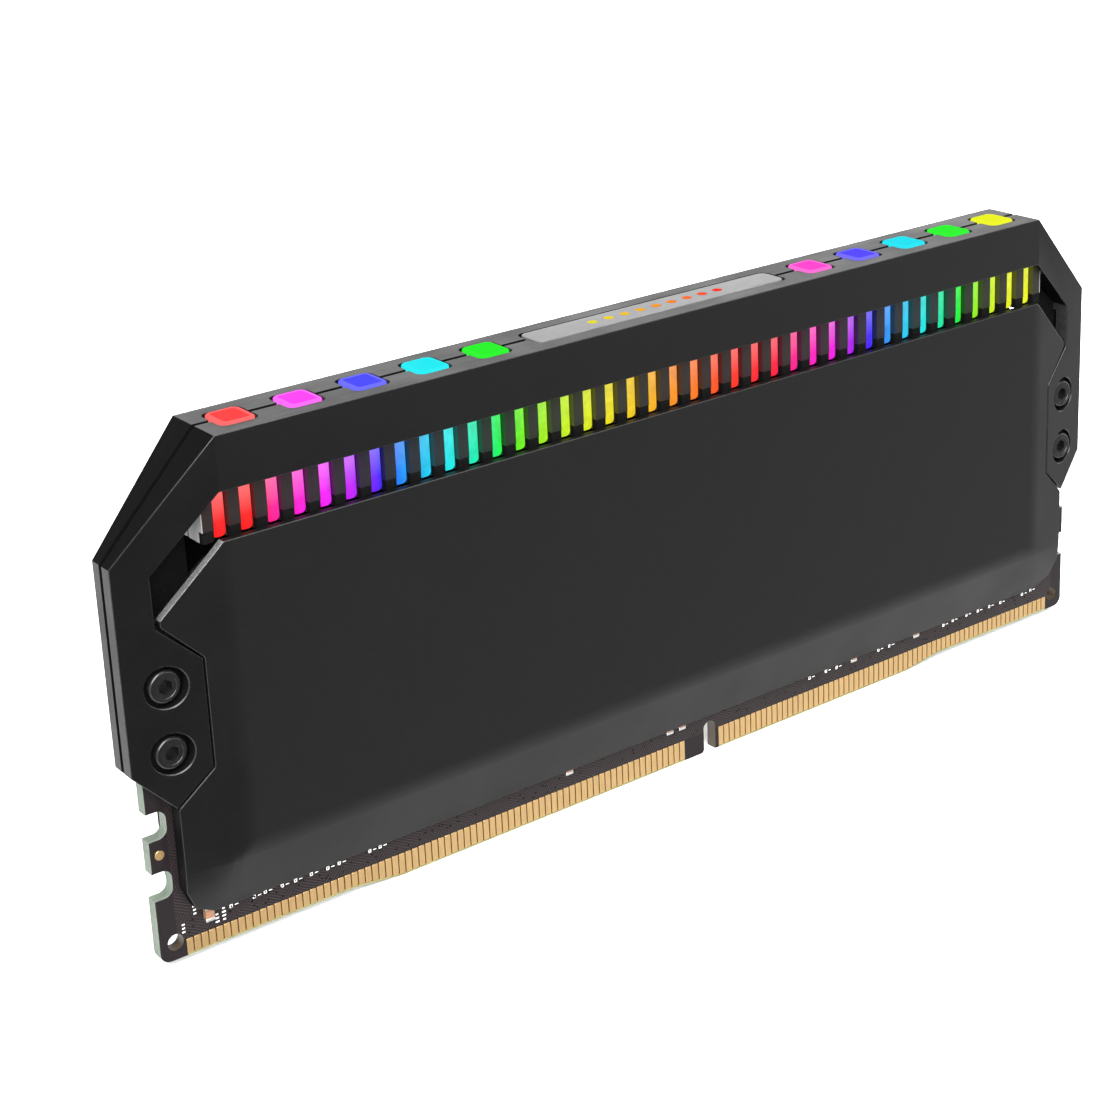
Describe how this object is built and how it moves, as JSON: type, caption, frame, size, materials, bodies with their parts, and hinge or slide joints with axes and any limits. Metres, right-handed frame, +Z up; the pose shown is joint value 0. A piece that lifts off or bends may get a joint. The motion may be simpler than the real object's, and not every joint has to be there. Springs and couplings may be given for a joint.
{
  "type": "ram module",
  "caption": "Desktop memory module with a gold contact edge, black heat spreaders, a fin comb and a chamfered top bar lit in rainbow colours.",
  "frame": {"origin": "middle of the contact edge at its lowest line, in the circuit board's middle plane", "axes": "+X along the board, front towards -Y, +Z up from the contact edge to the lit top bar"},
  "size_m": [0.1364, 0.0084, 0.0559],
  "materials": {
    "solder_mask": "black solder mask over glass epoxy, with pale green cut edges and gold contacts",
    "chip_resin": "matte moulded epoxy",
    "thermal_pad": "soft grey gap pad",
    "spreader_black": "satin black anodised, fine grain",
    "frame_black": "satin black anodised, brushed along the top",
    "fin_metal": "dark anodised",
    "light_guide": "milky light guide, lit in rainbow colours",
    "red_cap": "milky cap lit red",
    "magenta_cap": "milky cap lit magenta",
    "violet_cap": "milky cap lit violet blue",
    "cyan_cap": "milky cap lit cyan",
    "green_cap": "milky cap lit green",
    "yellow_cap": "milky cap lit yellow",
    "plate": "translucent grey plate",
    "lamp_board": "white solder mask",
    "lamp": "moulded lamp package",
    "connector": "black moulding",
    "screw_steel": "black oxide",
    "brass": "turned"
  },
  "bodies": {
    "root": {"circuit_board": "solder_mask", "memory_chip_1": "chip_resin", "memory_chip_2": "chip_resin", "memory_chip_3": "chip_resin", "memory_chip_4": "chip_resin", "memory_chip_5": "chip_resin", "memory_chip_6": "chip_resin", "memory_chip_7": "chip_resin", "memory_chip_8": "chip_resin", "identity_chip": "chip_resin", "front_thermal_pad": "thermal_pad", "rear_thermal_pad": "thermal_pad", "front_heat_spreader": "spreader_black", "rear_heat_spreader": "spreader_black", "front_frame": "frame_black", "rear_frame": "frame_black", "front_fin_comb": "fin_metal", "rear_fin_comb": "fin_metal", "light_guide": "light_guide", "light_cap_1": "red_cap", "light_cap_2": "magenta_cap", "light_cap_3": "violet_cap", "light_cap_4": "cyan_cap", "light_cap_5": "green_cap", "light_cap_6": "magenta_cap", "light_cap_7": "violet_cap", "light_cap_8": "cyan_cap", "light_cap_9": "green_cap", "light_cap_10": "yellow_cap", "name_plate": "plate", "lamp_board": "lamp_board", "lamp_1": "lamp", "lamp_2": "lamp", "lamp_3": "lamp", "lamp_4": "lamp", "lamp_5": "lamp", "lamp_6": "lamp", "lamp_7": "lamp", "lamp_8": "lamp", "lamp_9": "lamp", "lamp_10": "lamp", "lamp_11": "lamp", "lamp_12": "lamp", "lamp_connector": "connector", "front_left_upper_screw": "screw_steel", "front_left_lower_screw": "screw_steel", "front_right_upper_screw": "screw_steel", "front_right_lower_screw": "screw_steel", "rear_left_upper_screw": "screw_steel", "rear_left_lower_screw": "screw_steel", "rear_right_upper_screw": "screw_steel", "rear_right_lower_screw": "screw_steel", "left_upper_spacer": "brass", "left_lower_spacer": "brass", "right_upper_spacer": "brass", "right_lower_spacer": "brass"}
  },
  "joints": []
}
